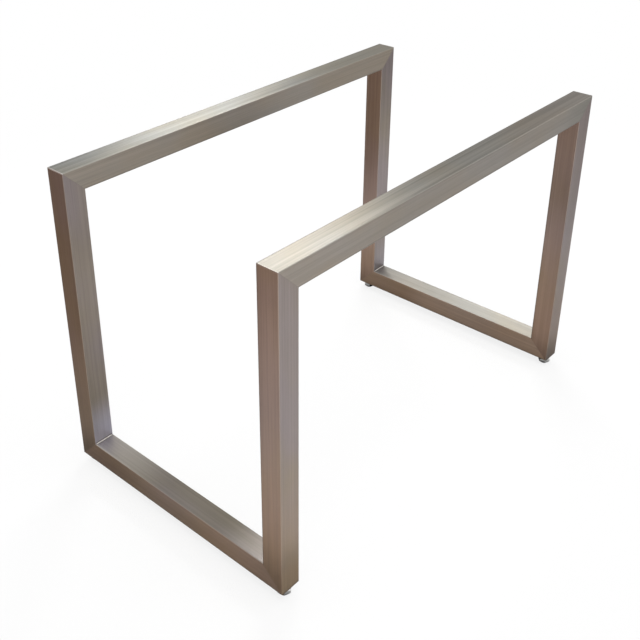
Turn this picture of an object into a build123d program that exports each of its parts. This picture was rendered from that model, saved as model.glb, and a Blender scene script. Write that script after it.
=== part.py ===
from build123d import *
import math
import os

# A table base: one continuous loop of square tube, mitred and welded at eight
# corners, standing on four screw-in levelling feet.
# X is across the width, Y along the length, Z up. The origin is on the floor,
# under the middle of the base. All sizes are in millimetres.

# The welded frame, outside sizes
FRAME_LENGTH = 1070.0
FRAME_WIDTH = 614.0
FRAME_HEIGHT = 716.0

# The square tube
TUBE_SIZE = 50.0
TUBE_WALL = 2.0
TUBE_CORNER_RADIUS = 2.5
TUBE_INNER_RADIUS_MIN = 0.1

# Where each foot screws in, from the end of its floor rail, and how far the
# hexagon is turned about the stud, in degrees
FOOT_INSET = 17.0
FOOT_TURN = 10.0

# The thread shared by stud, rivet nut and lock nut
THREAD_RADIUS = 4.0
THREAD_CLEARANCE = 0.05

# The rivet nut, set in the lower wall of the floor rail
RIVET_FLANGE_RADIUS = 7.5
RIVET_FLANGE_THICKNESS = 1.5
RIVET_SLEEVE_RADIUS = 5.5
RIVET_HOLE_CLEARANCE = 0.1
RIVET_ENTRY_CLEARANCE = 0.5
RIVET_BULGE_RADIUS = 7.2
RIVET_BULGE_HEIGHT = 3.5
RIVET_FOLD_RADIUS = 5.9
RIVET_THREAD_LENGTH = 10.0

# The bevelled corners of a hexagon: its flat end face as a share of the width
# across flats, and the slope of the bevel in degrees
HEXAGON_FACE_SHARE = 0.93
HEXAGON_BEVEL_ANGLE = 30.0

# The lock nut between the rivet nut and the foot
LOCK_NUT_ACROSS_FLATS = 13.0
LOCK_NUT_THICKNESS = 6.5

# The hexagonal foot, its stud and the glide clipped in under it
FOOT_ACROSS_FLATS = 26.0
FOOT_HEIGHT = 10.0
STUD_REACH = 40.0
STUD_SEAT_DEPTH = 5.0
STUD_SEAT_CLEARANCE = 0.02
STUD_TIP_BEVEL = 1.0
GLIDE_RADIUS = 10.0
GLIDE_PROUD = 3.0
GLIDE_RECESS_DEPTH = 3.0
GLIDE_CLEARANCE = 0.3
GLIDE_LIP_WIDTH = 0.6
GLIDE_LIP_HEIGHT = 1.0
GLIDE_EDGE_BEVEL = 0.8

# Heights that follow from the stack of pieces under a floor rail
FOOT_TOP = GLIDE_PROUD + FOOT_HEIGHT
LOCK_NUT_TOP = FOOT_TOP + LOCK_NUT_THICKNESS
FRAME_BOTTOM = LOCK_NUT_TOP + RIVET_FLANGE_THICKNESS
FRAME_TOP = FRAME_BOTTOM + FRAME_HEIGHT

# The centre line of the tube, and where the feet stand
CENTRE_X = (FRAME_WIDTH - TUBE_SIZE) / 2
CENTRE_Y = (FRAME_LENGTH - TUBE_SIZE) / 2
CENTRE_TOP = FRAME_TOP - TUBE_SIZE / 2
CENTRE_BOTTOM = FRAME_BOTTOM + TUBE_SIZE / 2
FOOT_X = FRAME_WIDTH / 2 - FOOT_INSET

# The sides of the base that name its pieces, as signs of X and Y
LEFT_AND_RIGHT = {"left": -1, "right": 1}
NEAR_AND_FAR = {"near": -1, "far": 1}

# The loop of the centre line: each corner, and the tube that leaves it
LOOP = [
    ("left_top_rail", (-CENTRE_X, -CENTRE_Y, CENTRE_TOP)),
    ("far_left_leg", (-CENTRE_X, CENTRE_Y, CENTRE_TOP)),
    ("far_floor_rail", (-CENTRE_X, CENTRE_Y, CENTRE_BOTTOM)),
    ("far_right_leg", (CENTRE_X, CENTRE_Y, CENTRE_BOTTOM)),
    ("right_top_rail", (CENTRE_X, CENTRE_Y, CENTRE_TOP)),
    ("near_right_leg", (CENTRE_X, -CENTRE_Y, CENTRE_TOP)),
    ("near_floor_rail", (CENTRE_X, -CENTRE_Y, CENTRE_BOTTOM)),
    ("near_left_leg", (-CENTRE_X, -CENTRE_Y, CENTRE_BOTTOM)),
]


def tube_section():
    """The square tube's section, with rounded corners inside and out."""
    bore = TUBE_SIZE - 2 * TUBE_WALL
    bore_radius = max(TUBE_CORNER_RADIUS - TUBE_WALL, TUBE_INNER_RADIUS_MIN)
    outside = RectangleRounded(TUBE_SIZE, TUBE_SIZE, TUBE_CORNER_RADIUS)
    return outside - RectangleRounded(bore, bore, bore_radius)


def mitred_tube(before, start, end, after):
    """The tube from start to end, cut on the mitres that it shares with its two neighbours."""
    along = (end - start).normalized()
    arriving = (start - before).normalized()
    leaving = (after - end).normalized()
    first_plane = Plane(origin=start - along * TUBE_SIZE, x_dir=arriving, z_dir=along)
    tube = extrude(first_plane * tube_section(), (end - start).length + 2 * TUBE_SIZE)
    start_mitre = Plane(origin=start, z_dir=arriving + along)
    end_mitre = Plane(origin=end, z_dir=along + leaving)
    tube = split(tube, bisect_by=start_mitre, keep=Keep.TOP)
    return split(tube, bisect_by=end_mitre, keep=Keep.BOTTOM)


def frame_tubes():
    """The eight tubes of the loop, by name."""
    corners = [Vector(*corner) for name, corner in LOOP]
    count = len(corners)
    tubes = {}
    for i, (name, corner) in enumerate(LOOP):
        following = corners[(i + 1) % count]
        next_but_one = corners[(i + 2) % count]
        tubes[name] = mitred_tube(corners[i - 1], corners[i], following, next_but_one)
    return tubes


def rivet_hole(x, y):
    """The round hole for a rivet nut, through the lower wall of a floor rail."""
    radius = RIVET_SLEEVE_RADIUS + RIVET_HOLE_CLEARANCE
    centre = FRAME_BOTTOM + TUBE_WALL / 2
    return Pos(x, y, centre) * Cylinder(radius, 2 * TUBE_WALL)


def turned(points):
    """A solid turned about Z from an outline of radius and height pairs."""
    outline = Polyline(*[(radius, 0, height) for radius, height in points], close=True)
    return revolve(make_face(outline), Axis.Z, 360)


def rivet_nut():
    """A rivet nut as set: its flange below the wall, its fold above, the thread on top."""
    entry = THREAD_RADIUS + RIVET_ENTRY_CLEARANCE
    thread = THREAD_RADIUS + THREAD_CLEARANCE
    wall_top = FRAME_BOTTOM + TUBE_WALL
    fold_middle = wall_top + RIVET_BULGE_HEIGHT / 2
    fold_top = wall_top + RIVET_BULGE_HEIGHT
    thread_top = fold_top + RIVET_THREAD_LENGTH
    return turned([
        (entry, LOCK_NUT_TOP),
        (RIVET_FLANGE_RADIUS, LOCK_NUT_TOP),
        (RIVET_FLANGE_RADIUS, FRAME_BOTTOM),
        (RIVET_SLEEVE_RADIUS, FRAME_BOTTOM),
        (RIVET_SLEEVE_RADIUS, wall_top),
        (RIVET_BULGE_RADIUS, wall_top),
        (RIVET_BULGE_RADIUS, fold_middle),
        (RIVET_SLEEVE_RADIUS, fold_top),
        (RIVET_SLEEVE_RADIUS, thread_top),
        (thread, thread_top),
        (thread, fold_top),
        (RIVET_FOLD_RADIUS, fold_middle),
        (entry, wall_top),
    ])


def hexagon_prism(across_flats, bottom, height):
    """A hexagonal bar with both its ends bevelled, as on a nut."""
    flat_radius = across_flats / 2
    hexagon = RegularPolygon(flat_radius, side_count=6, major_radius=False)
    corner_radius = flat_radius / math.cos(math.radians(180 / 6))
    face_radius = HEXAGON_FACE_SHARE * flat_radius
    bevel = (corner_radius - face_radius) * math.tan(math.radians(HEXAGON_BEVEL_ANGLE))
    top = bottom + height
    bar = extrude(Plane.XY.offset(bottom) * hexagon, height)
    envelope = turned([
        (0, bottom),
        (face_radius, bottom),
        (corner_radius, bottom + bevel),
        (corner_radius, top - bevel),
        (face_radius, top),
        (0, top),
    ])
    return bar & envelope


def lock_nut():
    """The nut that is tightened up against the rivet nut's flange."""
    nut = hexagon_prism(LOCK_NUT_ACROSS_FLATS, FOOT_TOP, LOCK_NUT_THICKNESS)
    bore = Cylinder(THREAD_RADIUS + THREAD_CLEARANCE, 2 * LOCK_NUT_THICKNESS)
    return nut - Pos(0, 0, FOOT_TOP + LOCK_NUT_THICKNESS / 2) * bore


def hexagon_foot():
    """The hexagonal foot, bored for its stud above and recessed for the glide below."""
    foot = Rot(0, 0, FOOT_TURN) * hexagon_prism(FOOT_ACROSS_FLATS, GLIDE_PROUD, FOOT_HEIGHT)
    seat_radius = THREAD_RADIUS + STUD_SEAT_CLEARANCE
    seat_bottom = FOOT_TOP - STUD_SEAT_DEPTH
    seat = turned([
        (0, seat_bottom),
        (seat_radius, seat_bottom),
        (seat_radius, FOOT_TOP),
        (0, FOOT_TOP),
    ])
    mouth_radius = GLIDE_RADIUS + GLIDE_CLEARANCE
    groove_radius = mouth_radius + GLIDE_LIP_WIDTH
    recess_top = GLIDE_PROUD + GLIDE_RECESS_DEPTH
    groove_bottom = recess_top - GLIDE_LIP_HEIGHT - GLIDE_CLEARANCE
    recess = turned([
        (0, GLIDE_PROUD),
        (mouth_radius, GLIDE_PROUD),
        (mouth_radius, groove_bottom),
        (groove_radius, groove_bottom),
        (groove_radius, recess_top),
        (0, recess_top),
    ])
    return foot - seat - recess


def stud():
    """The threaded stud, seated in the foot and bevelled at its tip."""
    seat_bottom = FOOT_TOP - STUD_SEAT_DEPTH
    tip = FOOT_TOP + STUD_REACH
    return turned([
        (0, seat_bottom),
        (THREAD_RADIUS, seat_bottom),
        (THREAD_RADIUS, tip - STUD_TIP_BEVEL),
        (THREAD_RADIUS - STUD_TIP_BEVEL, tip),
        (0, tip),
    ])


def glide():
    """The plastic glide, which the foot turns on: a disc with a lip that clips into the groove."""
    recess_top = GLIDE_PROUD + GLIDE_RECESS_DEPTH
    lip_radius = GLIDE_RADIUS + GLIDE_LIP_WIDTH
    lip_bottom = recess_top - GLIDE_LIP_HEIGHT
    return turned([
        (0, 0),
        (GLIDE_RADIUS - GLIDE_EDGE_BEVEL, 0),
        (GLIDE_RADIUS, GLIDE_EDGE_BEVEL),
        (GLIDE_RADIUS, lip_bottom),
        (lip_radius, lip_bottom),
        (lip_radius, recess_top),
        (0, recess_top),
    ])


def foot_pieces():
    """The pieces of one levelling foot, on the Z axis, by name."""
    return {
        "rivet_nut": rivet_nut(),
        "lock_nut": lock_nut(),
        "stud": stud(),
        "hexagon_foot": hexagon_foot(),
        "glide": glide(),
    }


def all_pieces():
    """Every piece of the table base, by name."""
    pieces = frame_tubes()
    foot = foot_pieces()
    for end, y_sign in NEAR_AND_FAR.items():
        rail = f"{end}_floor_rail"
        for side, x_sign in LEFT_AND_RIGHT.items():
            x, y = x_sign * FOOT_X, y_sign * CENTRE_Y
            pieces[rail] = pieces[rail] - rivet_hole(x, y)
            for name, piece in foot.items():
                pieces[f"{end}_{side}_{name}"] = Pos(x, y, 0) * piece
    return pieces


def main():
    os.makedirs("parts", exist_ok=True)
    for name, piece in all_pieces().items():
        export_step(piece, f"parts/{name}.step")


main()
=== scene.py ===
import math
from collections import namedtuple

import bmesh
import bpy
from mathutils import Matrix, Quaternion, Vector


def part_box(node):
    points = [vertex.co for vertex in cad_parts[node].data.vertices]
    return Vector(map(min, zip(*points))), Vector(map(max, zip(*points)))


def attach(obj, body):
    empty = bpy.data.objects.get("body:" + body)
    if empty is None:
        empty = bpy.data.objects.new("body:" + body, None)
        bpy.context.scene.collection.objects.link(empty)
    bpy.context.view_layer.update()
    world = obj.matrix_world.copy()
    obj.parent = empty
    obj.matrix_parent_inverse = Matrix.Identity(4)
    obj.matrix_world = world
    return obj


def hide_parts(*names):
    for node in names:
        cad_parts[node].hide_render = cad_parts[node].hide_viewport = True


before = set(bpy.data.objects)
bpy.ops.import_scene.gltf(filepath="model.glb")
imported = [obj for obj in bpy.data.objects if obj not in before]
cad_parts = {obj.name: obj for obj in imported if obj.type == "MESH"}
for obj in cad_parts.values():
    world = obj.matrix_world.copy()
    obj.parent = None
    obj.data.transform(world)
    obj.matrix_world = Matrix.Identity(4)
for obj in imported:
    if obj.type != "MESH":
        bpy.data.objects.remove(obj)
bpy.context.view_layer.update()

# The looks of a table base in brushed stainless steel tube. All lengths are in
# metres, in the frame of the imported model: X across, Y along, Z up.

MM = 0.001
AXES = "XYZ"
UP, DOWN, LEFT, RIGHT = (0, 0, 1), (0, 0, -1), (-1, 0, 0), (1, 0, 0)
NEAR, FAR = (0, -1, 0), (0, 1, 0)
WHITE, BLACK = (1.0, 1.0, 1.0), (0.0, 0.0, 0.0)

# The camera, fitted to the edges of the tubes in the photograph
CAMERA_PLACE = (1.2006, -1.499, 1.5118)
CAMERA_HEADING = math.radians(132.474)
CAMERA_DIP = math.radians(27.327)
CAMERA_ROLL = math.radians(0.492)
CAMERA_LENS_MM = 54.455
CAMERA_SENSOR_MM = 36.0
CAMERA_SHIFT = (0.0578, -0.1578)

# The tube's side, and the height between the lower and upper corners of the
# frame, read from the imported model
LEG_LOW, LEG_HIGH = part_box("near_left_leg")
TUBE = LEG_HIGH.x - LEG_LOW.x
MIDDLE_HEIGHT = (LEG_LOW.z + LEG_HIGH.z) / 2

# The two tints of the steel in a kind of tube, cool and warm: partly the steel's
# own tint and partly a painted reflection, the tint that the tubes reflect from
# what is round them
OLIVE = ((0.231, 0.221, 0.205), (0.247, 0.210, 0.160))
LILAC = ((0.239, 0.203, 0.216), (0.241, 0.202, 0.155))

# A tube's look: the axis that its brush marks follow, which way the outside of the
# mitre faces at its low end and at its high end, how bright it is painted at the
# sides and on top, as painted light and shade that differs from tube to tube, its
# tints, and how warm it is at its low and high ends, partly a painted reflection
# of the warm surroundings
Look = namedtuple("Look", "axis low_out high_out side_tone top_tone tints low_warmth high_warmth")
TUBES = {
    "left_top_rail": Look("Y", UP, UP, 1.09, 1.04, OLIVE, 0.50, 0.70),
    "right_top_rail": Look("Y", UP, UP, 1.15, 0.98, OLIVE, 0.75, 0.10),
    "near_floor_rail": Look("X", DOWN, DOWN, 0.97, 0.97, LILAC, 0.70, 0.50),
    "far_floor_rail": Look("X", DOWN, DOWN, 1.12, 1.14, OLIVE, 0.30, 0.50),
    "near_left_leg": Look("Z", LEFT, NEAR, 0.92, 0.92, LILAC, 0.85, 0.45),
    "near_right_leg": Look("Z", RIGHT, NEAR, 1.07, 1.07, LILAC, 0.85, 0.10),
    "far_left_leg": Look("Z", LEFT, FAR, 1.05, 1.05, LILAC, 0.30, 0.30),
    "far_right_leg": Look("Z", RIGHT, FAR, 0.885, 0.885, LILAC, 0.60, 0.10),
}
SIDES = {"left": -1, "right": 1}
ENDS = {"near": -1, "far": 1}
FEET = [f"{end}_{side}" for end in ENDS for side in SIDES]

# Brush marks: how many fit in a metre across the grain and along it, and how
# detailed and rough their noise is
FINE_MARKS = (2100.0, 16.0, 3.0, 0.6)
STREAKS = (240.0, 1.6, 3.0, 0.55)
BANDS = (60.0, 1.3, 2.0, 0.5)
CLOUDS = (8.0, 4.5, 2.0, 0.5)

# The marks are streaks and fine marks, and the stripes on the upper rails' tops
# are bands and streaks, painted on the tops as a painted highlight that shows the
# brush there: the share of the first in each, the span of their noise that counts,
# how dark and bright they make the steel, and how deep marks are
STREAK_SHARE = 0.6
MARK_SPAN = (0.3, 0.7)
MARK_TONES = (0.87, 1.13)
MARK_BUMP = (0.10, 0.04 * MM)
BAND_SHARE = 0.5
STRIPE_SPAN = (0.36, 0.64)
STRIPE_TONES = (0.88, 1.10)

# The steel's tones, as the reflectance of the brushed metal, the share of the
# tint over them, and how far the clouds take that from cool to warm
STEEL_DEEP = (0.210, 0.182, 0.158)
STEEL_PALE = (0.258, 0.226, 0.200)
TONE_SPAN = (0.25, 0.75)
TINT_SHARE = 0.6
CLOUD_WARMTH = 2.2

# The satin finish: its roughness from streak to streak, how much smoother it is
# on the edges, and how far its shine is drawn out by the brush
STEEL_ROUGHNESS = (0.34, 0.41)
EDGE_SMOOTHNESS = 0.05
STEEL_ANISOTROPY = 0.93

# The rounded edges of a tube are painted a little paler than its sides, partly
# wear and partly a painted highlight, and those at its left and bottom, with a
# leg's lower end, are painted darker as painted shade: how far over a side the
# colour starts and is whole, the colour, its share, and how far from the left or
# bottom the dark one fades
EDGE_WIDTH = (1.9 * MM, 0.5 * MM)
EDGE_WEAR_AND_SHEEN = (0.46, 0.43, 0.395)
EDGE_WEAR_AND_SHEEN_SHARE = 0.32
PAINTED_EDGE_SHADE_WIDTH = (4.2 * MM, 2.6 * MM)
PAINTED_EDGE_SHADE = (0.05, 0.042, 0.04)
PAINTED_EDGE_SHADE_SHARE = 0.35
PAINTED_EDGE_SHADE_REACH = (0.1 * TUBE, 0.3 * TUBE)

# The fine line of the ground weld along each mitre
SEAM_WIDTH = 0.7 * MM
SEAM_COLOUR = (0.15, 0.13, 0.12)
SEAM_SHARE = 0.35

# A dark line above the weld, on the inner side at the foot of each leg: its height
# over the corner, how far it fades and the share of the seam's colour
ABOVE_WELD_LINE_HEIGHT = 3.2 * MM
ABOVE_WELD_LINE_WIDTH = (0.6 * MM, 1.8 * MM)
ABOVE_WELD_LINE_SHARE = 0.6

# Which edge of a mitre a colour spreads from
INNER, OUTER = -1, 1

# The lower corners whose insides are painted paler, a painted reflection of the
# light between leg and rail, with the share of the painted colour. On floor rails
# and on legs: how far the painted reflection reaches along a tube, and its colour
CORNER_REFLECTION_SHARES = {"lower_near_left": 0.95, "lower_far_left": 0.28}
CORNER_REFLECTION = {
    "X": ((20 * MM, 230 * MM), (0.545, 0.49, 0.45)),
    "Z": ((10 * MM, 130 * MM), (0.47, 0.455, 0.54)),
}

# A painted highlight: the bright line along the sharp outer edges at the upper
# corners, stronger at the left: its width over each side, its colour and its share
CORNER_HIGHLIGHT_WIDTH = (1.2 * MM, 2.6 * MM)
CORNER_HIGHLIGHT = (0.72, 0.69, 0.67)
CORNER_HIGHLIGHT_SHARES = {
    "upper_near_left": 0.75,
    "upper_far_left": 0.75,
    "upper_near_right": 0.15,
    "upper_far_right": 0.15,
}

# A painted reflection, as what is left of each colour: warm brown on the sides
# that face the near end, which reflect the brown surroundings there, and a nearly
# clear, cool tint on the sides that face up. The slope says how squarely a side
# has to face a way, where its tint starts and where it is whole
NEAR_REFLECTION_TINTS = {LILAC: (0.96, 0.815, 0.705), OLIVE: (0.95, 0.755, 0.635)}
TOP_REFLECTION_TINT = (1.09, 1.15, 1.16)
FACING_SLOPE = (0.4, 0.9)

# Painted light and shade in bands along a tube, lighter or darker and warmer or
# cooler where the light on it differs, browner and darker towards the floor: the
# way its side faces, where along the tube the band starts and is whole, and what
# it leaves of each colour. A band that is whole before the tube starts covers all
# of it
PAINTED_LIGHT_ALONG_TUBES = {
    "near_left_leg": [
        (NEAR, (320 * MM, 130 * MM), (0.76, 0.75, 0.74)),
    ],
    "near_right_leg": [
        (NEAR, (450 * MM, 60 * MM), (1.0, 0.925, 0.84)),
        (NEAR, (420 * MM, 640 * MM), (1.25, 1.24, 1.22)),
        (RIGHT, (450 * MM, 60 * MM), (1.05, 0.93, 0.79)),
        (RIGHT, (110 * MM, 40 * MM), (1.28, 1.22, 1.14)),
    ],
    "far_left_leg": [
        (NEAR, (220 * MM, 90 * MM), (0.86, 0.80, 0.73)),
    ],
    "far_right_leg": [
        (NEAR, (450 * MM, 60 * MM), (1.04, 0.96, 0.88)),
        (NEAR, (420 * MM, 640 * MM), (1.18, 1.18, 1.17)),
        (RIGHT, (450 * MM, 60 * MM), (0.92, 0.84, 0.74)),
        (RIGHT, (420 * MM, 640 * MM), (1.32, 1.30, 1.28)),
    ],
    "near_floor_rail": [
        (NEAR, (-40 * MM, -220 * MM), (0.80, 0.76, 0.71)),
        (NEAR, (0.0, 150 * MM), (1.16, 1.11, 1.03)),
        (NEAR, (190 * MM, 280 * MM), (0.84, 0.83, 0.80)),
    ],
    "far_floor_rail": [
        (NEAR, (-60 * MM, -160 * MM), (0.84, 0.80, 0.74)),
    ],
    "left_top_rail": [
        (UP, (-600 * MM, -540 * MM), (1.01, 1.045, 1.08)),
    ],
    "right_top_rail": [
        (RIGHT, (-150 * MM, -450 * MM), (1.13, 1.12, 1.12)),
        (RIGHT, (380 * MM, 520 * MM), (0.82, 0.84, 0.81)),
        (UP, (50 * MM, 400 * MM), (1.03, 0.97, 0.945)),
    ],
}


class Graph:
    """The nodes of a material or world, with short calls that add a node and link its inputs."""

    def __init__(self, owner, shader="Principled BSDF"):
        owner.use_nodes = True
        self.owner = owner
        self.tree = owner.node_tree
        self.shader = self.tree.nodes[shader]

    def add(self, kind, settings=None, **inputs):
        node = self.tree.nodes.new(kind)
        for key, value in (settings or {}).items():
            setattr(node, key, value)
        for key, value in inputs.items():
            self.feed(node, key, value)
        return node

    def feed(self, node, key, value):
        """Links or sets an input, which is named by its position, as in2, or by its name."""
        if key.startswith("in") and key[2:].isdigit():
            socket = node.inputs[int(key[2:])]
        else:
            socket = node.inputs[key.replace("_", " ")]
        if isinstance(value, bpy.types.NodeSocket):
            self.tree.links.new(value, socket)
        elif socket.type == "RGBA":
            socket.default_value = (*value[:3], 1.0)
        else:
            socket.default_value = value

    def set(self, **inputs):
        """Links or sets inputs of the shader that the owner came with."""
        for key, value in inputs.items():
            self.feed(self.shader, key, value)

    def math(self, operation, a, b=0.0, c=0.0):
        node = self.add("ShaderNodeMath", {"operation": operation}, in0=a, in1=b, in2=c)
        return node.outputs[0]

    def blend(self, share, a, b):
        """A number made of a by share, and of b for the rest."""
        return self.math("MULTIPLY_ADD", a, share, self.math("MULTIPLY", b, 1.0 - share))

    def ramp(self, value, low, high, to_low=0.0, to_high=1.0):
        """A smooth step from to_low to to_high as value goes from low to high."""
        node = self.add("ShaderNodeMapRange", {"interpolation_type": "SMOOTHSTEP"},
                        Value=value, From_Min=low, From_Max=high, To_Min=to_low, To_Max=to_high)
        return node.outputs["Result"]

    def vector(self, operation, a, b=(0.0, 0.0, 0.0)):
        node = self.add("ShaderNodeVectorMath", {"operation": operation}, in0=a, in1=b)
        if operation in ("DOT_PRODUCT", "LENGTH"):
            return node.outputs["Value"]
        return node.outputs["Vector"]

    def parts(self, vector):
        """The X, Y and Z of a vector."""
        return self.add("ShaderNodeSeparateXYZ", Vector=vector).outputs

    def place(self):
        return self.add("ShaderNodeTexCoord").outputs["Object"]

    def facing(self, way):
        """How squarely a surface faces a way: 1 when it does, and 0 when it faces across it."""
        normal = self.add("ShaderNodeTexCoord").outputs["Normal"]
        return self.vector("DOT_PRODUCT", normal, way)

    def ray(self, kind):
        """1 for one kind of ray, such as Camera, and 0 for all others."""
        return self.add("ShaderNodeLightPath").outputs[f"Is {kind} Ray"]

    def noise(self, place, scale, detail, roughness):
        node = self.add("ShaderNodeTexNoise", Vector=place, Scale=scale, Detail=detail,
                        Roughness=roughness)
        return node.outputs[0]

    def bump(self, height, strength, distance):
        node = self.add("ShaderNodeBump", Height=height, Strength=strength, Distance=distance)
        return node.outputs["Normal"]

    def mix(self, share, a, b):
        """A colour from a to b by share."""
        node = self.add("ShaderNodeMix", {"data_type": "RGBA"}, in0=share, in6=a, in7=b)
        return node.outputs[2]

    def tinted(self, share, colour, multiplier):
        """A colour multiplied by another colour, by share."""
        node = self.add("ShaderNodeMix", {"data_type": "RGBA", "blend_type": "MULTIPLY"},
                        in0=share, in6=colour, in7=multiplier)
        return node.outputs[2]

    def glow(self, colour, strength=1.0):
        """A shader of plain light."""
        return self.add("ShaderNodeEmission", Color=colour, Strength=strength).outputs[0]

    def clear(self):
        """A shader that lets all light through."""
        return self.add("ShaderNodeBsdfTransparent").outputs[0]

    def mixed_shader(self, share, a, b):
        return self.add("ShaderNodeMixShader", in0=share, in1=a, in2=b).outputs[0]

    def surface(self, shader):
        """Puts another shader in the place of the one that the material came with."""
        self.tree.nodes.remove(self.shader)
        self.tree.links.new(shader, self.tree.nodes["Material Output"].inputs["Surface"])


def material_graph(name):
    return Graph(bpy.data.materials.new(name))


def axis_vector(axis):
    return Vector([float(letter == axis) for letter in AXES])


def faces(graph, way):
    """1 on the sides that face a way, and 0 on all others."""
    return graph.ramp(graph.facing(way), *FACING_SLOPE)


def marks_along(graph, place, axis, marks):
    """The noise of marks that run along an axis."""
    across, along, detail, roughness = marks
    scale = [along if letter == axis else across for letter in AXES]
    stretched = graph.vector("MULTIPLY", place, tuple(scale))
    return graph.noise(stretched, 1.0, detail, roughness)


def edge_mask(graph, place, node, width):
    """1 along the long edges of a tube, and 0 on its sides past the width."""
    low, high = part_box(node)
    offset = graph.vector("ABSOLUTE", graph.vector("SUBTRACT", place, tuple((low + high) / 2)))
    parts = graph.parts(offset)
    u, v = [parts[i] for i in range(3) if AXES[i] != TUBES[node].axis]
    start, stop = [TUBE / 2 - limit for limit in width]
    return graph.ramp(graph.math("MINIMUM", u, v), start, stop)


def painted_edge_shade_share(graph, place, node):
    """The share of painted shade at a tube's left and bottom edges, and at a leg's lower end."""
    axis = TUBES[node].axis
    low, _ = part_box(node)
    x, _, z = graph.parts(place)
    from_left = graph.math("SUBTRACT", x, low.x)
    from_bottom = graph.math("SUBTRACT", z, low.z)
    away = {"X": from_bottom, "Y": graph.math("MINIMUM", from_left, from_bottom), "Z": from_left}
    dark = graph.math("MULTIPLY", edge_mask(graph, place, node, PAINTED_EDGE_SHADE_WIDTH),
                      graph.ramp(away[axis], *PAINTED_EDGE_SHADE_REACH, 1.0, 0.0))
    if axis == "Z":
        end = graph.ramp(from_bottom, *reversed(PAINTED_EDGE_SHADE_WIDTH), 1.0, 0.0)
        dark = graph.math("MAXIMUM", dark, end)
    return graph.math("MULTIPLY", dark, PAINTED_EDGE_SHADE_SHARE)


def tube_ends(node):
    """For both ends of a tube: the middle of its corner, the way it ends and the way it faces out."""
    look = TUBES[node]
    low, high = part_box(node)
    along = axis_vector(look.axis)
    index = AXES.index(look.axis)
    ends = []
    for end, ending, out in ((low, -along, look.low_out), (high, along, look.high_out)):
        corner = (low + high) / 2
        corner[index] = end[index] - ending[index] * TUBE / 2
        ends.append((corner, ending, Vector(out)))
    return ends


def seam_share(graph, place, node):
    """The share of the seam's colour on the lines where a tube's mitres meet its neighbours'."""
    away = []
    for corner, ending, out in tube_ends(node):
        normal = (ending - out).normalized()
        offset = graph.vector("SUBTRACT", place, tuple(corner))
        away.append(graph.math("ABSOLUTE", graph.vector("DOT_PRODUCT", offset, tuple(normal))))
    return graph.ramp(graph.math("MINIMUM", *away), 0.0, SEAM_WIDTH, SEAM_SHARE, 0.0)


def above_weld_line_share(graph, place, node):
    """The share of the seam's colour on the thin line above the inner weld at a leg's foot."""
    low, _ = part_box(node)
    line = low.z + TUBE + ABOVE_WELD_LINE_HEIGHT
    away = graph.math("ABSOLUTE", graph.math("SUBTRACT", graph.parts(place)[2], line))
    near_line = graph.ramp(away, *ABOVE_WELD_LINE_WIDTH, ABOVE_WELD_LINE_SHARE, 0.0)
    inwards = LEFT if low.x > 0.0 else RIGHT
    return graph.math("MULTIPLY", near_line, faces(graph, inwards))


def corner_name(corner):
    """The name of a corner of the frame by its place, such as lower_near_left."""
    height = "lower" if corner.z < MIDDLE_HEIGHT else "upper"
    end = "near" if corner.y < 0.0 else "far"
    side = "left" if corner.x < 0.0 else "right"
    return f"{height}_{end}_{side}"


def mitre_edge_share(graph, place, node, edge, reach, shares):
    """The share of a colour that spreads from the inner or outer edges of a tube's mitres.

    It fades over the reach, from what shares says for the corner, and a corner
    that shares leaves out has none.
    """
    most = 0.0
    for corner, ending, out in tube_ends(node):
        name = corner_name(corner)
        if name not in shares:
            continue
        point = corner + (ending + out) * edge * TUBE / 2
        offset = graph.vector("SUBTRACT", place, tuple(point))
        across = graph.vector("CROSS_PRODUCT", offset, tuple(ending.cross(out)))
        share = graph.ramp(graph.vector("LENGTH", across), *reach, shares[name], 0.0)
        most = graph.math("MAXIMUM", most, share)
    return most


def steel_colour(graph, place, node, bands):
    """The steel's colour, with bands of tone, clouds from cool to warm, and tints that are partly a
    painted reflection.
    """
    look = TUBES[node]
    low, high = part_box(node)
    index = AXES.index(look.axis)
    drift = graph.ramp(graph.parts(place)[index], low[index], high[index],
                       look.low_warmth, look.high_warmth)
    clouds = graph.math("SUBTRACT", marks_along(graph, place, look.axis, CLOUDS), 0.5)
    warmth = graph.math("MULTIPLY_ADD", clouds, CLOUD_WARMTH, drift)
    tint = graph.mix(graph.ramp(warmth, 0.0, 1.0), *look.tints)
    tone = graph.mix(graph.ramp(bands, *TONE_SPAN), STEEL_DEEP, STEEL_PALE)
    return graph.mix(TINT_SHARE, tone, tint)


def with_corner_reflection(graph, place, node, colour):
    """A colour with the painted reflection in the lower corners over it, except on near and far
    sides.
    """
    reach, corner_reflection_colour = CORNER_REFLECTION[TUBES[node].axis]
    share = mitre_edge_share(graph, place, node, INNER, reach, CORNER_REFLECTION_SHARES)
    endwards = graph.math("ABSOLUTE", graph.facing(FAR))
    elsewhere = graph.ramp(endwards, *FACING_SLOPE, 1.0, 0.0)
    return graph.mix(graph.math("MULTIPLY", share, elsewhere), colour, corner_reflection_colour)


def with_painted_light(graph, place, node, colour):
    """A colour with the painted reflections of its sides and the painted light and shade along its
    tube over it.
    """
    look = TUBES[node]
    along = graph.parts(place)[AXES.index(look.axis)]
    # Painted reflection: warm brown on near-facing sides and a cool tint on tops
    for way, multiplier in ((NEAR, NEAR_REFLECTION_TINTS[look.tints]), (UP, TOP_REFLECTION_TINT)):
        colour = graph.tinted(faces(graph, way), colour, multiplier)
    # Painted light and shade in bands along the tube
    for way, reach, multiplier in PAINTED_LIGHT_ALONG_TUBES[node]:
        share = graph.math("MULTIPLY", graph.ramp(along, *reach), faces(graph, way))
        colour = graph.tinted(share, colour, multiplier)
    return colour


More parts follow.
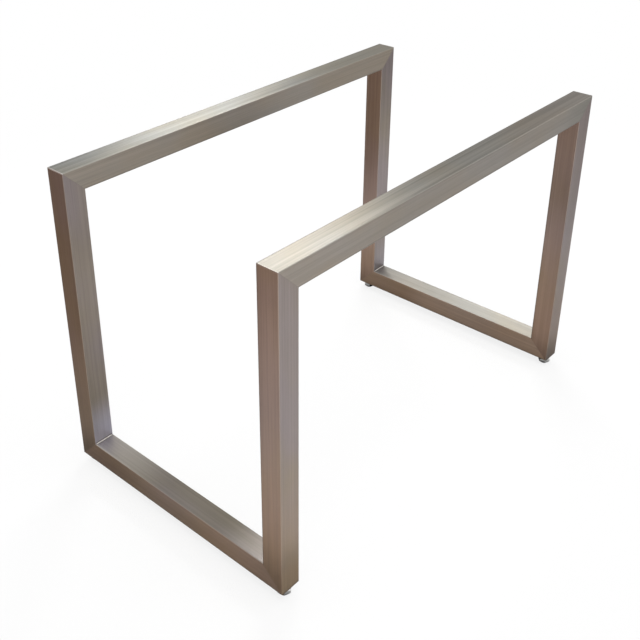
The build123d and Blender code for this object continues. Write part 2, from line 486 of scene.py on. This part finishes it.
def brush_and_painted_shade(graph, look, marks, streaks, bands):
    """How bright the steel is painted, as a multiple of its colour: the brush marks, the painted
    light and shade of the sides and top, and stripes of painted highlight on the upper rails' tops.
    """
    upwards = faces(graph, UP)
    # The painted light and shade of the tube's sides and top
    tone = graph.math("MULTIPLY_ADD", upwards, look.top_tone - look.side_tone, look.side_tone)
    shade = graph.math("MULTIPLY", graph.ramp(marks, *MARK_SPAN, *MARK_TONES), tone)
    if look.axis != "Y":
        return shade
    # Stripes of painted highlight on the upper rails' tops
    stripes = graph.ramp(graph.blend(BAND_SHARE, bands, streaks), *STRIPE_SPAN, *STRIPE_TONES)
    change = graph.math("SUBTRACT", stripes, 1.0)
    return graph.math("MULTIPLY", shade, graph.math("MULTIPLY_ADD", upwards, change, 1.0))


def edges_seams_and_painted_light(graph, place, node, edges, colour):
    """A colour with the tube's paler edges (wear and painted highlight), its painted edge shade, the
    painted highlight along its upper corners, the dark line above the welds and the seams over it.
    """
    # The bright lines at the upper corners are a painted highlight
    corner_highlights = mitre_edge_share(graph, place, node, OUTER, CORNER_HIGHLIGHT_WIDTH, CORNER_HIGHLIGHT_SHARES)
    # Paler edges, partly wear and partly painted highlight, and painted shade on the left and bottom
    # edges
    layers = [
        (graph.math("MULTIPLY", edges, EDGE_WEAR_AND_SHEEN_SHARE), EDGE_WEAR_AND_SHEEN),
        (painted_edge_shade_share(graph, place, node), PAINTED_EDGE_SHADE),
        (corner_highlights, CORNER_HIGHLIGHT),
    ]
    if TUBES[node].axis == "Z":
        layers.append((above_weld_line_share(graph, place, node), SEAM_COLOUR))
    layers.append((seam_share(graph, place, node), SEAM_COLOUR))
    for share, layer in layers:
        colour = graph.mix(share, colour, layer)
    return colour


def brushed_steel(node):
    """Satin stainless steel, brushed along one tube, with paler edges that are partly wear and partly
    painted highlight, painted light and shade, and ground seams.
    """
    look = TUBES[node]
    graph = material_graph(f"steel_{node}")
    place = graph.place()
    edges = edge_mask(graph, place, node, EDGE_WIDTH)
    streaks = marks_along(graph, place, look.axis, STREAKS)
    bands = marks_along(graph, place, look.axis, BANDS)
    marks = graph.blend(STREAK_SHARE, streaks, marks_along(graph, place, look.axis, FINE_MARKS))

    colour = steel_colour(graph, place, node, bands)
    # Painted reflection: the insides of the lower corners are painted paler
    if look.axis in CORNER_REFLECTION:
        colour = with_corner_reflection(graph, place, node, colour)
    # Painted reflections, and painted light and shade along the tube
    colour = with_painted_light(graph, place, node, colour)
    # Painted light and shade of the sides and top, with the brush marks
    shade = brush_and_painted_shade(graph, look, marks, streaks, bands)
    colour = graph.add("ShaderNodeHueSaturation", Color=colour, Value=shade).outputs[0]
    # Paler edges, painted edge shade, painted corner highlights, the dark line above the welds and
    # the seams
    colour = edges_seams_and_painted_light(graph, place, node, edges, colour)

    rough = graph.ramp(streaks, *MARK_SPAN, *STEEL_ROUGHNESS)
    rough = graph.math("MULTIPLY_ADD", edges, -EDGE_SMOOTHNESS, rough)
    normal = graph.add("ShaderNodeNewGeometry").outputs["Normal"]
    across = graph.vector("CROSS_PRODUCT", normal, tuple(axis_vector(look.axis)))
    graph.set(Base_Color=colour, Roughness=rough, Metallic=1.0, Anisotropic=STEEL_ANISOTROPY,
              Normal=graph.bump(marks, *MARK_BUMP), Tangent=across)
    return graph.owner


# The other materials: a noise is how many patches fit in a metre, with its detail
# and roughness, a span is the part of a noise over which a colour or roughness
# changes, and a bump has a strength and a depth
COLOUR_SPAN = (0.35, 0.65)
ROUGH_SPAN = (0.3, 0.7)

NICKEL_SMUDGES = (160.0, 4.0, 0.6)
NICKEL_MARKS_A_METRE = (300.0, 300.0, 4200.0)
NICKEL_MARKS = (1.0, 2.0, 0.5)
NICKEL_COLOURS = ((0.80, 0.79, 0.77), (0.93, 0.92, 0.90))
NICKEL_ROUGH_SPAN = (0.3, 0.75)
NICKEL_ROUGHNESS = (0.08, 0.22)
NICKEL_BUMP = (0.08, 0.02 * MM)


def bright_nickel():
    """Polished nickel plate with faint polishing marks and finger smudges."""
    graph = material_graph("bright_nickel")
    place = graph.place()
    smudges = graph.noise(place, *NICKEL_SMUDGES)
    marks = graph.noise(graph.vector("MULTIPLY", place, NICKEL_MARKS_A_METRE), *NICKEL_MARKS)
    colour = graph.mix(graph.ramp(smudges, *COLOUR_SPAN), *NICKEL_COLOURS)
    rough = graph.ramp(smudges, *NICKEL_ROUGH_SPAN, *NICKEL_ROUGHNESS)
    graph.set(Base_Color=colour, Metallic=1.0, Roughness=rough,
              Normal=graph.bump(marks, *NICKEL_BUMP))
    return graph.owner


ZINC_BLOOM = (210.0, 3.0, 0.55)
ZINC_GRAIN = (2600.0, 2.0, 0.5)
ZINC_COLOURS = ((0.46, 0.48, 0.50), (0.56, 0.54, 0.47))
ZINC_ROUGHNESS = (0.24, 0.40)
ZINC_BUMP = (0.1, 0.02 * MM)


def zinc_plate():
    """Bright zinc plate: a bluish grey with a faint yellow bloom."""
    graph = material_graph("zinc_plate")
    place = graph.place()
    bloom = graph.noise(place, *ZINC_BLOOM)
    grain = graph.noise(place, *ZINC_GRAIN)
    colour = graph.mix(graph.ramp(bloom, *COLOUR_SPAN), *ZINC_COLOURS)
    graph.set(Base_Color=colour, Metallic=1.0,
              Roughness=graph.ramp(bloom, *ROUGH_SPAN, *ZINC_ROUGHNESS),
              Normal=graph.bump(grain, *ZINC_BUMP))
    return graph.owner


NYLON_SCUFFS = (420.0, 4.0, 0.65)
NYLON_GRAIN = (3200.0, 2.0, 0.6)
NYLON_SCUFF_SPAN = (0.45, 0.75)
NYLON_COLOURS = ((0.018, 0.018, 0.02), (0.06, 0.058, 0.056))
NYLON_ROUGHNESS = (0.42, 0.62)
NYLON_BUMP = (0.25, 0.05 * MM)


def nylon():
    """Dark moulded nylon with a fine spark-eroded grain, scuffed pale where it rubs."""
    graph = material_graph("glide_nylon")
    place = graph.place()
    scuffs = graph.noise(place, *NYLON_SCUFFS)
    grain = graph.noise(place, *NYLON_GRAIN)
    colour = graph.mix(graph.ramp(scuffs, *NYLON_SCUFF_SPAN), *NYLON_COLOURS)
    graph.set(Base_Color=colour, Roughness=graph.ramp(scuffs, *ROUGH_SPAN, *NYLON_ROUGHNESS),
              Normal=graph.bump(grain, *NYLON_BUMP))
    return graph.owner


WELD_HEAT = (140.0, 3.0, 0.55)
WELD_RIPPLES = (1500.0, 3.0, 0.6)
WELD_COLOURS = ((0.56, 0.54, 0.52), (0.50, 0.46, 0.41))
WELD_ROUGHNESS = (0.16, 0.30)
WELD_BUMP = (0.2, 0.05 * MM)


def weld_steel():
    """The polished steel of the inner welds, with fine ripples and a faint straw tint of heat."""
    graph = material_graph("weld_steel")
    place = graph.place()
    heat = graph.noise(place, *WELD_HEAT)
    ripples = graph.noise(place, *WELD_RIPPLES)
    colour = graph.mix(graph.ramp(heat, *COLOUR_SPAN), *WELD_COLOURS)
    graph.set(Base_Color=colour, Metallic=1.0,
              Roughness=graph.ramp(ripples, *ROUGH_SPAN, *WELD_ROUGHNESS),
              Normal=graph.bump(ripples, *WELD_BUMP))
    return graph.owner


def dress(node, material):
    """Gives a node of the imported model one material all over."""
    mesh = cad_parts[node].data
    mesh.materials.clear()
    mesh.materials.append(material)


def dress_nodes():
    for node in TUBES:
        dress(node, brushed_steel(node))
    nickel, zinc, plastic = bright_nickel(), zinc_plate(), nylon()
    for foot in FEET:
        dress(f"{foot}_hexagon_foot", nickel)
        dress(f"{foot}_lock_nut", zinc)
        dress(f"{foot}_rivet_nut", zinc)
        dress(f"{foot}_stud", zinc)
        dress(f"{foot}_glide", plastic)
        add_threaded_stud(foot, zinc)


def new_object(name, data):
    piece = bpy.data.objects.new(name, data)
    bpy.context.scene.collection.objects.link(piece)
    return piece


def add_skin(name, rings, material, smooth_ends):
    """A solid piece whose skin runs smoothly through rings of points and is closed at both ends."""
    mesh = bmesh.new()
    rows = [[mesh.verts.new(point) for point in ring] for ring in rings]
    for row, following in zip(rows, rows[1:]):
        for j in range(len(row)):
            k = (j + 1) % len(row)
            face = mesh.faces.new((row[j], row[k], following[k], following[j]))
            face.smooth = True
    for end in (list(reversed(rows[0])), rows[-1]):
        face = mesh.faces.new(end)
        face.smooth = smooth_ends
    bmesh.ops.recalc_face_normals(mesh, faces=mesh.faces)
    data = bpy.data.meshes.new(name)
    mesh.to_mesh(data)
    mesh.free()
    data.materials.append(material)
    return new_object(name, data)


# The polished weld in each inner corner: the size of its hollow, how far it
# stays short of the tube's rounded edges, its taper at the ends as the share of
# the size that is left and the gain over a whole length, and its ripples, as
# their height and as waves with their turns along the weld and their share
WELD_SIZE = 1.7 * MM
WELD_END_GAP = 2.6 * MM
WELD_TIP_SHARE = 0.25
WELD_TAPER = 8.0
WELD_RIPPLE = 0.12 * MM
WELD_WAVES = ((23.0, 0.5), (41.0, 0.3), (9.0, 0.2))
WELD_ROWS = 64
WELD_ARC_STEPS = 8


def weld_ripple(share, seed):
    """An uneven wave along a weld, from -1 to 1."""
    return sum(size * math.sin(turns * math.tau * share + seed * turns) for turns, size in WELD_WAVES)


def add_weld(name, corner, along, first, second, material, seed):
    """A hollow weld in the corner between two flat faces.

    It runs along an axis, centred on corner, and first and second point from the
    corner over the two faces.
    """
    half = TUBE / 2 - WELD_END_GAP
    rings = []
    for i in range(WELD_ROWS + 1):
        share = i / WELD_ROWS
        taper = min(1.0, WELD_TIP_SHARE + WELD_TAPER * min(share, 1.0 - share))
        size = (WELD_SIZE + WELD_RIPPLE * weld_ripple(share, seed)) * taper
        base = corner + along * (half * (2.0 * share - 1.0))
        ring = [base]
        for j in range(WELD_ARC_STEPS + 1):
            angle = math.pi / 2 * j / WELD_ARC_STEPS
            over_first = size * (1.0 - math.sin(angle))
            over_second = size * (1.0 - math.cos(angle))
            ring.append(base + first * over_first + second * over_second)
        rings.append(ring)
    weld = add_skin(name, rings, material, smooth_ends=True)
    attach(weld, "frame")


def add_welds():
    """The welds that show inside the frame: over the floor rails and under the top rails."""
    material = weld_steel()
    across, along, up = Vector(RIGHT), Vector(FAR), Vector(UP)
    seed = 1.0
    for end, y_sign in ENDS.items():
        for side, x_sign in SIDES.items():
            low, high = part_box(f"{end}_{side}_leg")
            middle = (low + high) / 2
            over_rail = Vector((middle.x - x_sign * TUBE / 2, middle.y, low.z + TUBE))
            under_rail = Vector((middle.x, middle.y - y_sign * TUBE / 2, high.z - TUBE))
            add_weld(f"{end}_{side}_lower_weld", over_rail, along, -x_sign * across, up,
                     material, seed)
            add_weld(f"{end}_{side}_upper_weld", under_rail, across, -y_sign * along, -up,
                     material, seed + 0.5)
            seed += 1.0


# The M8 thread of the studs
THREAD_PITCH = 1.25 * MM
THREAD_DEPTH = 0.77 * MM
THREAD_CREST_SHARE = 0.125
THREAD_ROOT_SHARE = 0.25
THREAD_ROWS_A_TURN = 10
THREAD_SEGMENTS = 32
STUD_TIP_BEVEL = 1 * MM


def thread_depth(turns):
    """How deep an M8 thread is below its crest, by the turns along a line of its side."""
    from_crest = abs(2.0 * (turns % 1.0) - 1.0)
    flank = 1.0 - THREAD_CREST_SHARE - THREAD_ROOT_SHARE
    return THREAD_DEPTH * min(1.0, max(0.0, (from_crest - THREAD_CREST_SHARE) / flank))


def add_threaded_stud(foot, material):
    """A stud with its helical thread, in the place of the plain one."""
    low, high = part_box(f"{foot}_stud")
    middle = (low + high) / 2
    radius = (high.x - low.x) / 2
    length = high.z - low.z
    row_count = round(length / THREAD_PITCH * THREAD_ROWS_A_TURN)
    rings = []
    for i in range(row_count + 1):
        z = low.z + length * i / row_count
        widest = radius - max(0.0, STUD_TIP_BEVEL - (high.z - z))
        ring = []
        for j in range(THREAD_SEGMENTS):
            share = j / THREAD_SEGMENTS
            r = min(radius - thread_depth(z / THREAD_PITCH - share), widest)
            angle = math.tau * share
            ring.append((middle.x + r * math.cos(angle), middle.y + r * math.sin(angle), z))
        rings.append(ring)
    stud = add_skin(f"{foot}_threaded_stud", rings, material, smooth_ends=False)
    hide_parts(f"{foot}_stud")
    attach(stud, f"{foot}_screw_body")


def add_camera():
    data = bpy.data.cameras.new("camera")
    data.lens = CAMERA_LENS_MM
    data.sensor_width = CAMERA_SENSOR_MM
    data.shift_x, data.shift_y = CAMERA_SHIFT
    camera = new_object("camera", data)
    camera.location = CAMERA_PLACE
    level = math.cos(CAMERA_DIP)
    looks = Vector((level * math.cos(CAMERA_HEADING), level * math.sin(CAMERA_HEADING),
                    -math.sin(CAMERA_DIP)))
    upright = looks.to_track_quat("-Z", "Y")
    camera.rotation_mode = "QUATERNION"
    camera.rotation_quaternion = upright @ Quaternion(UP, -CAMERA_ROLL)
    bpy.context.scene.camera = camera


# The white surroundings: how bright the camera and reflections see them, and how
# much light they give to everything else
SEEN_WHITE = 1.0
AMBIENT = 0.55

# The floor: its paint, the light that the camera and reflections see on it
# beside the lamps' light, how clear it is to the camera, and how far from the
# middle it starts to fade to white and has faded
FLOOR_SIZE = 60.0
FLOOR_COLOUR = (0.82, 0.82, 0.82)
SEEN_FILL = 0.30
REFLECTED_FILL = 0.50
FLOOR_CLEARNESS = 0.75
FLOOR_FADE = (1.3, 2.6)

# Shade on the floor at the floor rails, by the distance from their outline: a
# faint one that the camera sees, a deep one under them that only reflections
# see, and a wide one beside them, also for reflections alone
SEEN_SHADE = (-24 * MM, 4 * MM, 0.85, 1.0)
DEEP_SHADE = (-10 * MM, 14 * MM, 0.04, 1.0)
WIDE_SHADE = (20 * MM, 160 * MM, 0.50, 1.0)


def seen_directly(graph):
    """1 for camera, glossy and transmission rays, and 0 for all others."""
    bent = graph.math("MAXIMUM", graph.ray("Glossy"), graph.ray("Transmission"))
    return graph.math("MAXIMUM", graph.ray("Camera"), bent)


def add_world():
    world = bpy.data.worlds.new("surroundings")
    graph = Graph(world, "Background")
    strength = graph.math("MULTIPLY_ADD", seen_directly(graph), SEEN_WHITE - AMBIENT, AMBIENT)
    graph.set(Color=WHITE, Strength=strength)
    bpy.context.scene.world = world


def rail_distance(graph, place):
    """How far a place on the floor is outside the outline of the nearest floor rail."""
    distances = []
    for rail in ("near_floor_rail", "far_floor_rail"):
        low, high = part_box(rail)
        middle, half = (low + high) / 2, (high - low) / 2
        offset = graph.vector("SUBTRACT", place, (middle.x, middle.y, 0.0))
        beyond = graph.vector("SUBTRACT", graph.vector("ABSOLUTE", offset), (half.x, half.y, 1.0))
        outside = graph.vector("LENGTH", graph.vector("MAXIMUM", beyond))
        x, y, _ = graph.parts(beyond)
        inside = graph.math("MINIMUM", graph.math("MAXIMUM", x, y), 0.0)
        distances.append(graph.math("ADD", outside, inside))
    return graph.math("MINIMUM", *distances)


def floor_shade(graph, place):
    """The share of the floor's brightness that is left near the floor rails."""
    distance = rail_distance(graph, place)
    seen = graph.ramp(distance, *SEEN_SHADE)
    reflected = graph.math("MULTIPLY", graph.ramp(distance, *DEEP_SHADE),
                           graph.ramp(distance, *WIDE_SHADE))
    step = graph.math("MULTIPLY", graph.ray("Glossy"), graph.math("SUBTRACT", reflected, seen))
    return graph.math("ADD", seen, step)


def floor_material():
    """Pale matt floor that keeps the shadow near the object and fades to plain white.

    The camera sees through it in part, so that a foot that is screwed out below
    the floor's level still shows.
    """
    graph = material_graph("pale_floor")
    place = graph.place()
    directly = seen_directly(graph)
    shade = floor_shade(graph, place)
    paint_colour = graph.mix(shade, BLACK, FLOOR_COLOUR)
    paint = graph.add("ShaderNodeBsdfDiffuse", Color=paint_colour).outputs[0]
    level = graph.math("MULTIPLY_ADD", graph.ray("Glossy"), REFLECTED_FILL - SEEN_FILL, SEEN_FILL)
    fill = graph.math("MULTIPLY", graph.math("MULTIPLY", directly, level), shade)
    lit = graph.add("ShaderNodeAddShader", in0=paint, in1=graph.glow(WHITE, fill)).outputs[0]
    faded = graph.ramp(graph.vector("LENGTH", place), *FLOOR_FADE)
    faded = graph.math("MULTIPLY", faded, directly)
    solid = graph.mixed_shader(faded, lit, graph.glow(WHITE, SEEN_WHITE))
    clearness = graph.math("MULTIPLY", graph.ray("Camera"), FLOOR_CLEARNESS)
    graph.surface(graph.mixed_shader(clearness, solid, graph.clear()))
    return graph.owner


def sheet_of(name, size_x, size_y, material):
    """A flat rectangle on the XY plane, facing up."""
    mesh = bpy.data.meshes.new(name)
    x, y = size_x / 2, size_y / 2
    mesh.from_pydata([(-x, -y, 0), (x, -y, 0), (x, y, 0), (-x, y, 0)], [], [(0, 1, 2, 3)])
    mesh.materials.append(material)
    return new_object(name, mesh)


def add_floor():
    floor = sheet_of("floor", FLOOR_SIZE, FLOOR_SIZE, floor_material())


# Studio cards that only reflections see. Two lie on the floor and cover it
# softly in one direction from the middle: colour, direction, and where the
# cover starts and is whole
FLOOR_CARD_SIZE = 8.0
FLOOR_CARD_LIFT = 0.5 * MM
FLOOR_CARDS = {
    "brown_card": ((0.56, 0.47, 0.41), (-0.90, -0.43, 0.0), (0.25, 1.10)),
    "pale_card": ((0.70, 0.69, 0.68), (0.60, 0.80, 0.0), (1.10, 2.20)),
}

# One stands behind the far left corner and faces the middle
GREY_CARD_PLACE = (-3.6, 3.4, 3.2)
GREY_CARD_TARGET = (0.0, 0.0, 3.2)
GREY_CARD_SIZE = (8.0, 6.0)
GREY_CARD_COLOUR = (0.66, 0.64, 0.62)


def turn_towards(piece, target):
    """Points an object's -Z axis at a target."""
    piece.rotation_mode = "QUATERNION"
    piece.rotation_quaternion = (Vector(target) - piece.location).to_track_quat("-Z", "Y")


def reflection_only(card):
    card.visible_camera = False
    card.visible_diffuse = False
    card.visible_shadow = False
    card.visible_transmission = False


def add_floor_cards():
    for i, (name, (colour, way, reach)) in enumerate(FLOOR_CARDS.items()):
        graph = material_graph(name)
        place = graph.place()
        glow = graph.glow(colour, floor_shade(graph, place))
        cover = graph.ramp(graph.vector("DOT_PRODUCT", place, way), *reach)
        graph.surface(graph.mixed_shader(cover, graph.clear(), glow))
        card = sheet_of(name, FLOOR_CARD_SIZE, FLOOR_CARD_SIZE, graph.owner)
        card.location.z = FLOOR_CARD_LIFT * (i + 1)
        reflection_only(card)


def add_grey_card():
    graph = material_graph("grey_card")
    graph.surface(graph.glow(GREY_CARD_COLOUR))
    card = sheet_of("grey_card", *GREY_CARD_SIZE, graph.owner)
    card.location = GREY_CARD_PLACE
    turn_towards(card, GREY_CARD_TARGET)
    reflection_only(card)


# Soft lamps: place, target, size, and brightness as a multiple of white
LAMPS = {
    "window_lamp": ((-1.30, 1.86, 3.04), (0.0, 0.0, 0.6), (1.25, 0.5), 16.8),
    "top_lamp": ((0.6, -0.4, 3.2), (0.0, 0.0, 0.0), (2.4, 2.4), 1.5),
}


def add_lamps():
    for name, (place, target, size, brightness) in LAMPS.items():
        data = bpy.data.lights.new(name, "AREA")
        data.shape = "RECTANGLE"
        data.size, data.size_y = size
        data.energy = brightness * math.pi * size[0] * size[1]
        lamp = new_object(name, data)
        lamp.location = place
        turn_towards(lamp, target)
        lamp.visible_camera = False


dress_nodes()
add_welds()
add_camera()
add_world()
add_floor()
add_floor_cards()
add_grey_card()
add_lamps()
bpy.context.scene.view_settings.view_transform = "Standard"
